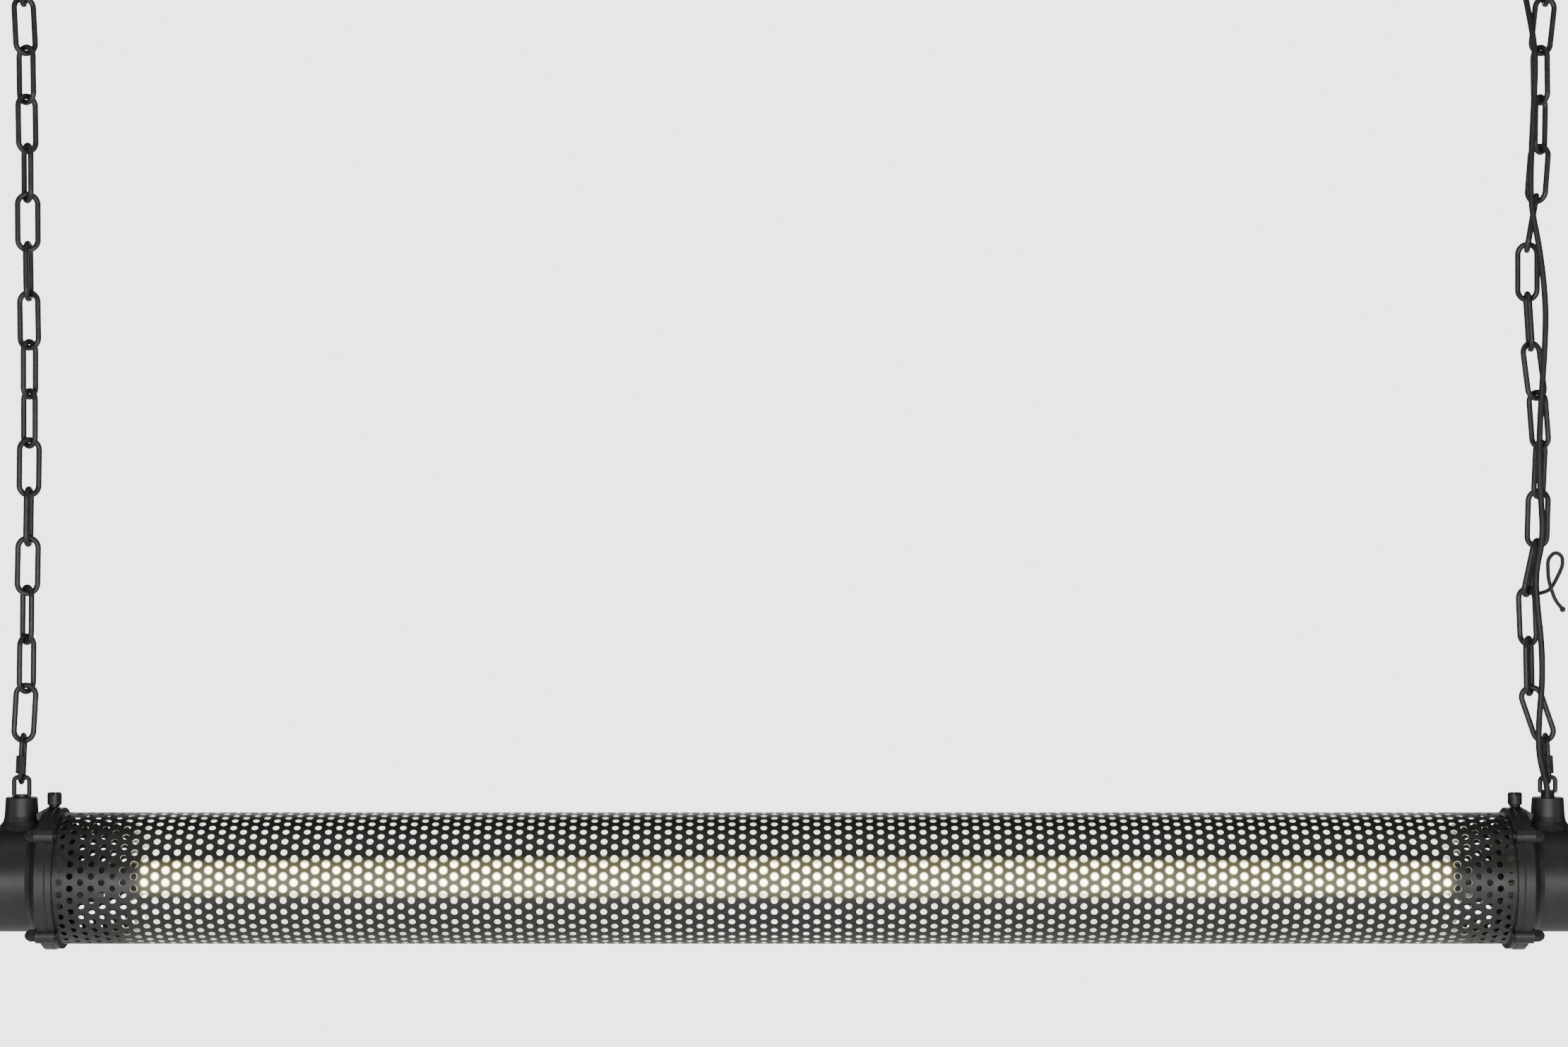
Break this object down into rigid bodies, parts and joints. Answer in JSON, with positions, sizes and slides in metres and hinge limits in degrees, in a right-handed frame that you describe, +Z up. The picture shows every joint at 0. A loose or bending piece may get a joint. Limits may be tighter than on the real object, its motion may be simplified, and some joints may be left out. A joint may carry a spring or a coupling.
{
  "type": "hanging shop light",
  "caption": "Linear pendant: a perforated black sleeve round an LED tube, flanged cast end caps with eyes, hung from two ceiling canopies by welded chains, with a power cable along one chain.",
  "frame": {"origin": "on the ceiling, half way between the two ceiling plates", "axes": "+X along the light to its cable end, +Z up, the front of the light faces -Y"},
  "size_m": [1.498, 0.125, 0.9225],
  "materials": {
    "black_paint": "satin black powder coat on cast metal",
    "sleeve_paint": "satin black on perforated sheet",
    "ring_metal": "satin black, lighter on its rim",
    "black_steel": "blackened steel",
    "chain_black": "black coated welded chain",
    "cable_black": "matt black sheath",
    "gasket_black": "matt black sheet",
    "tube_glass": "frosted, lit warm white",
    "tube_cap": "black moulding",
    "pin_brass": "bright",
    "board_white": "white solder mask",
    "chip_yellow": "yellow phosphor",
    "driver_green": "green board with parts",
    "holder_black": "black moulding",
    "rotor_black": "black moulding",
    "contact_bronze": "spring bronze",
    "bracket_black": "black painted sheet",
    "bracket_zinc": "zinc plated sheet",
    "screw_zinc": "zinc plated",
    "block_grey": "off-white moulding",
    "clamp_black": "black moulding",
    "core_insulation": "brown, blue and green-yellow insulation",
    "earth_insulation": "green and yellow insulation"
  },
  "bodies": {
    "ceiling_fittings": {"left_ceiling_plate": "bracket_zinc", "right_ceiling_plate": "bracket_zinc", "left_ceiling_canopy": "black_paint", "right_ceiling_canopy": "black_paint", "left_ceiling_hook": "black_steel", "right_ceiling_hook": "black_steel", "hook_ring_nuts": "black_steel", "cord_grip": "cable_black", "ceiling_terminal_block": "block_grey"},
    "right_top_link": {"right_top_link": "chain_black"},
    "right_chain": {"right_chain_links": "chain_black", "cable_tie": "cable_black", "power_cable_upper": "cable_black", "power_cable_lower": "cable_black"},
    "right_quick_link": {"right_quick_link": "black_steel"},
    "left_top_link": {"left_top_link": "chain_black"},
    "left_chain": {"left_chain_links": "chain_black"},
    "left_quick_link": {"left_quick_link": "black_steel"},
    "left_link_nut": {"left_link_nut": "black_steel"},
    "right_link_nut": {"right_link_nut": "black_steel"},
    "left_thumb_screw": {"left_thumb_screw": "black_steel"},
    "right_thumb_screw": {"right_thumb_screw": "black_steel"},
    "led_tube": {"led_tube_glass": "tube_glass", "left_tube_cap": "tube_cap", "right_tube_cap": "tube_cap", "tube_pins": "pin_brass", "led_board": "board_white", "led_chips": "chip_yellow", "led_driver_board": "driver_green"},
    "left_rotor": {"left_rotor": "rotor_black"},
    "right_rotor": {"right_rotor": "rotor_black"},
    "light": {"perforated_sleeve": "sleeve_paint", "left_end_cap": "black_paint", "right_end_cap": "black_paint", "left_clamp_ring": "ring_metal", "right_clamp_ring": "ring_metal", "flange_gaskets": "gasket_black", "flange_studs": "black_steel", "flange_cap_nuts": "black_steel", "left_lifting_eye": "black_steel", "right_lifting_eye": "black_steel", "left_end_cover": "black_paint", "right_end_cover": "black_paint", "end_cover_screws": "black_steel", "power_cable_tail": "cable_black", "power_cable_inner": "cable_black", "cable_bush": "cable_black", "left_lampholder": "holder_black", "right_lampholder": "holder_black", "lampholder_contacts": "contact_bronze", "left_holder_bracket": "bracket_black", "right_holder_bracket": "bracket_black", "bracket_screws": "screw_zinc", "terminal_block": "block_grey", "cord_clamp": "clamp_black", "supply_cores": "core_insulation", "lampholder_wires": "core_insulation", "earth_screw": "screw_zinc", "earth_wire": "earth_insulation"}
  },
  "joints": [
    {"name": "swing_front_back", "type": "hinge", "parent": "ceiling_fittings", "child": "right_top_link", "pos_m": [0.67, 0, -0.04965], "axis": [1, 0, 0], "range_deg": [-20, 20], "deforming": ["power_cable_upper"]},
    {"name": "sway_sideways", "type": "hinge", "parent": "right_top_link", "child": "right_chain", "pos_m": [0.6681, 0, -0.09295], "axis": [0, 1, 0], "range_deg": [-12, 12], "deforming": ["power_cable_upper"]},
    {"name": "right_link_level", "type": "hinge", "parent": "right_chain", "child": "right_quick_link", "pos_m": [0.6681, 0, -0.7344], "axis": [0, 1, 0], "range_deg": [-12, 12], "deforming": ["power_cable_lower", "power_cable_tail"]},
    {"name": "light_rock", "type": "hinge", "parent": "right_quick_link", "child": "light", "pos_m": [0.67, 0, -0.77155], "axis": [1, 0, 0], "range_deg": [-20, 20], "deforming": ["power_cable_tail"]},
    {"name": "left_swing", "type": "hinge", "parent": "ceiling_fittings", "child": "left_top_link", "pos_m": [-0.67, 0, -0.04965], "axis": [1, 0, 0], "range_deg": [-20, 20]},
    {"name": "left_sway", "type": "hinge", "parent": "left_top_link", "child": "left_chain", "pos_m": [-0.6685, 0, -0.09295], "axis": [0, 1, 0], "range_deg": [-12, 12]},
    {"name": "left_link_level", "type": "hinge", "parent": "left_chain", "child": "left_quick_link", "pos_m": [-0.6685, 0, -0.7344], "axis": [0, 1, 0], "range_deg": [-12, 12]},
    {"name": "left_link_nut_travel", "type": "slide", "parent": "left_quick_link", "child": "left_link_nut", "axis": [0.0429, 0, 0.9991], "range_m": [0, 0.008]},
    {"name": "right_link_nut_travel", "type": "slide", "parent": "right_quick_link", "child": "right_link_nut", "axis": [-0.0543, 0, 0.9985], "range_m": [0, 0.008]},
    {"name": "left_thumb_screw_turn", "type": "hinge", "parent": "light", "child": "left_thumb_screw", "pos_m": [-0.6412, 0, -0.795], "axis": [0, 0, 1], "continuous": true},
    {"name": "right_thumb_screw_turn", "type": "hinge", "parent": "light", "child": "right_thumb_screw", "pos_m": [0.6412, 0, -0.795], "axis": [0, 0, 1], "continuous": true},
    {"name": "led_tube_twist", "type": "hinge", "parent": "light", "child": "led_tube", "pos_m": [0, 0, -0.86], "axis": [1, 0, 0], "range_deg": [0, 90]},
    {"name": "left_rotor_turn", "type": "hinge", "parent": "light", "child": "left_rotor", "pos_m": [-0.602, 0, -0.86], "axis": [1, 0, 0], "range_deg": [0, 90]},
    {"name": "right_rotor_turn", "type": "hinge", "parent": "light", "child": "right_rotor", "pos_m": [0.602, 0, -0.86], "axis": [1, 0, 0], "range_deg": [0, 90]}
  ],
  "couplings": [
    {"joint": "left_swing", "follows": "swing_front_back", "ratio": 1},
    {"joint": "left_sway", "follows": "sway_sideways", "ratio": 1},
    {"joint": "right_link_level", "follows": "sway_sideways", "ratio": -1},
    {"joint": "left_link_level", "follows": "sway_sideways", "ratio": -1},
    {"joint": "left_rotor_turn", "follows": "led_tube_twist", "ratio": 1},
    {"joint": "right_rotor_turn", "follows": "led_tube_twist", "ratio": 1}
  ]
}
